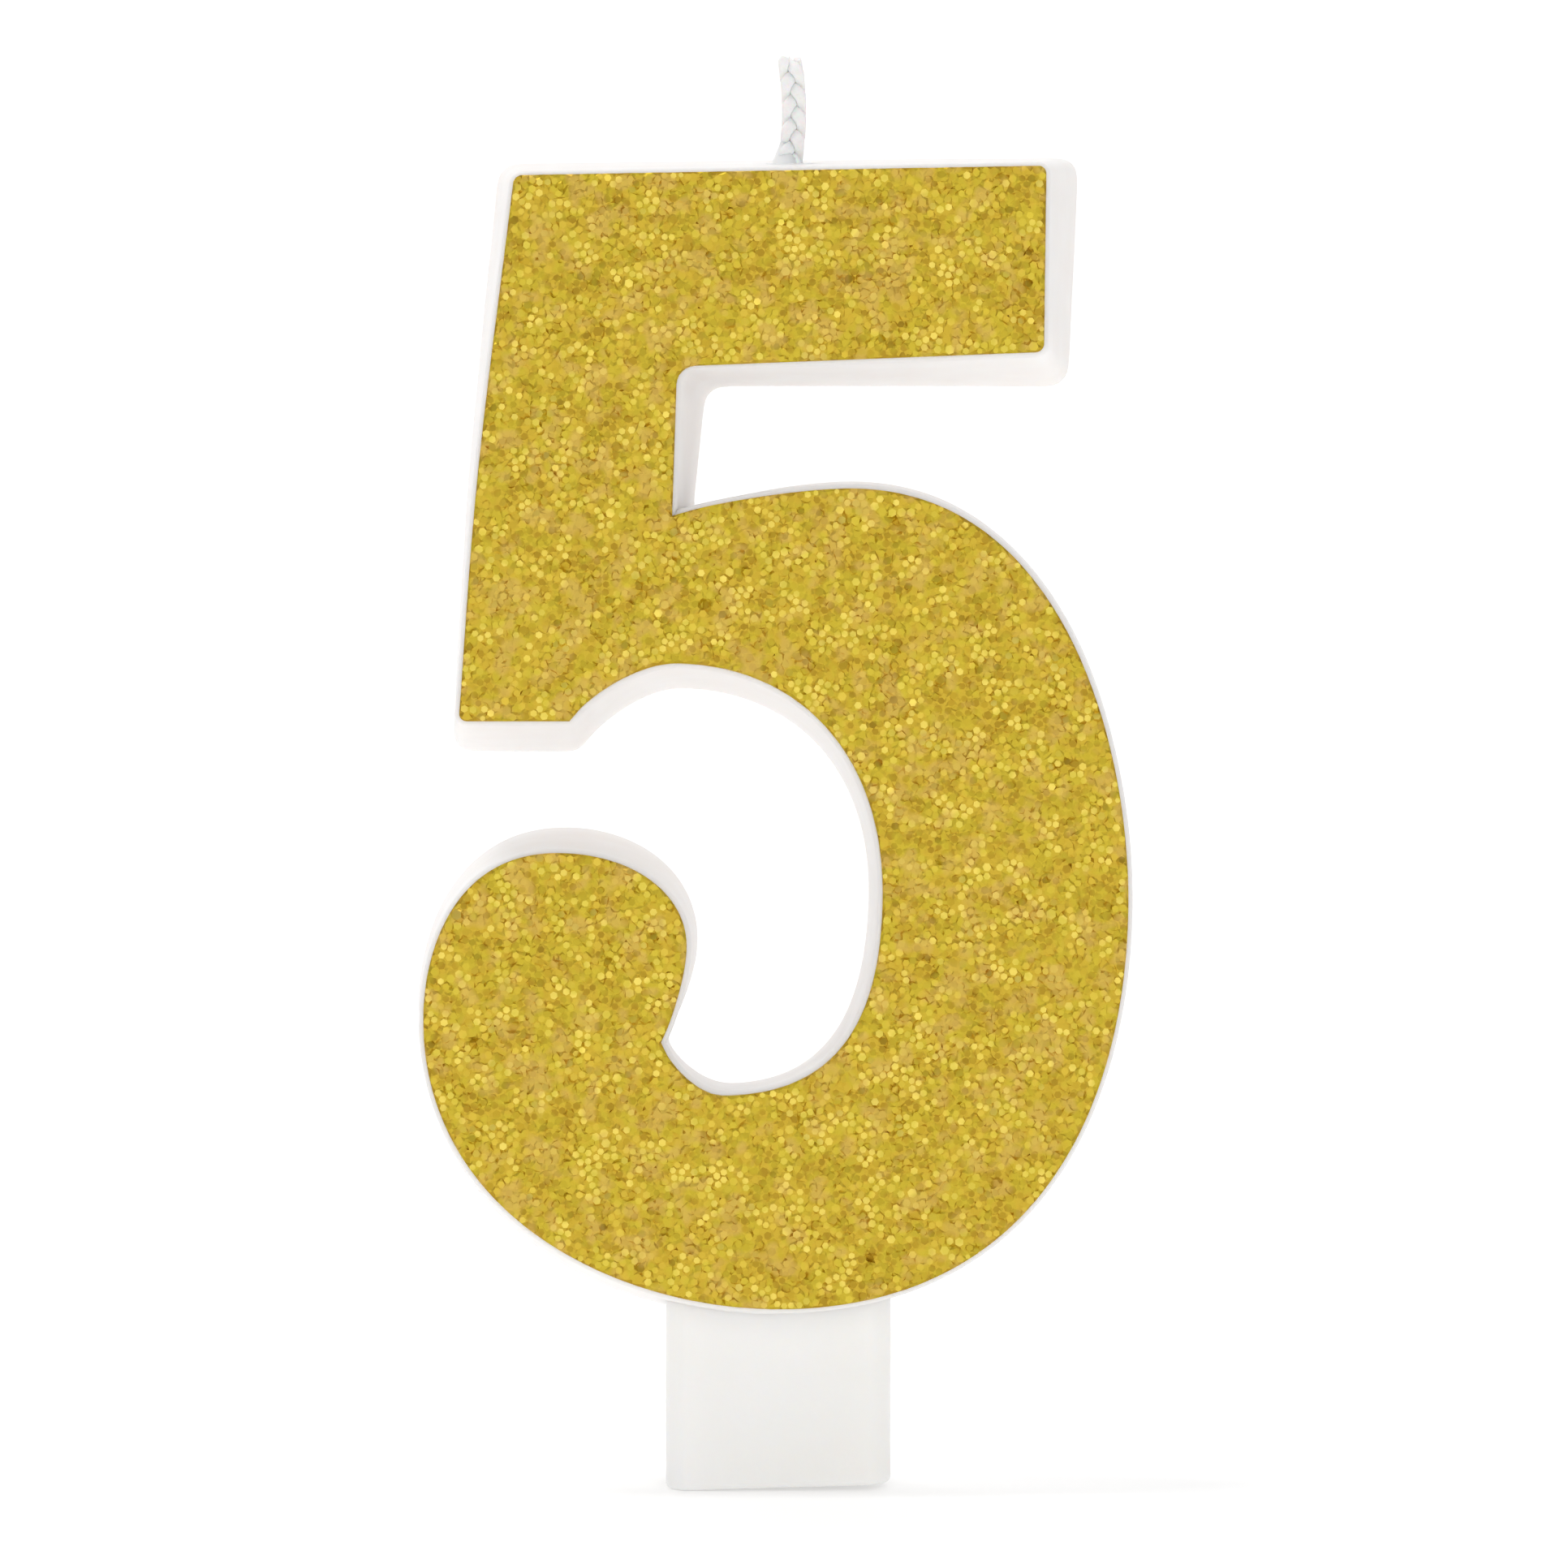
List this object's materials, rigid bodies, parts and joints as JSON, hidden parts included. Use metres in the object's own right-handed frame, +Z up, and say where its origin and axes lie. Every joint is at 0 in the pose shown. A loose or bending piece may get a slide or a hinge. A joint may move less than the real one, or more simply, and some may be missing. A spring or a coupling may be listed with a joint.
{
  "type": "number birthday candle",
  "caption": "Moulded wax numeral 5 with a gold glitter face, a plaited cotton wick on its top bar and a blunt stem that is pressed into a cake.",
  "frame": {"origin": "middle of the stem's blunt lower end, on the middle plane of the candle's thickness", "axes": "+Z up from the stem to the wick, +X to the right as the numeral is read, +Y from the glitter face to the back"},
  "size_m": [0.0462, 0.0124, 0.0907],
  "materials": {
    "white_wax": "white paraffin wax, satin, slightly translucent",
    "stem_wax": "harder white wax, satin",
    "cotton": "plaited cotton primed with wax",
    "seal_wax": "white wax set from a melt, smooth",
    "clear_binder": "clear binder film, glossy",
    "gold_glitter": "fine gold flakes of metallised film, sparkling"
  },
  "bodies": {
    "root": {"wax_body": "white_wax", "stem": "stem_wax", "wick_strand_1": "cotton", "wick_strand_2": "cotton", "wick_strand_3": "cotton", "wick_seal": "seal_wax", "adhesive_coat": "clear_binder", "glitter_coat": "gold_glitter"}
  },
  "joints": []
}
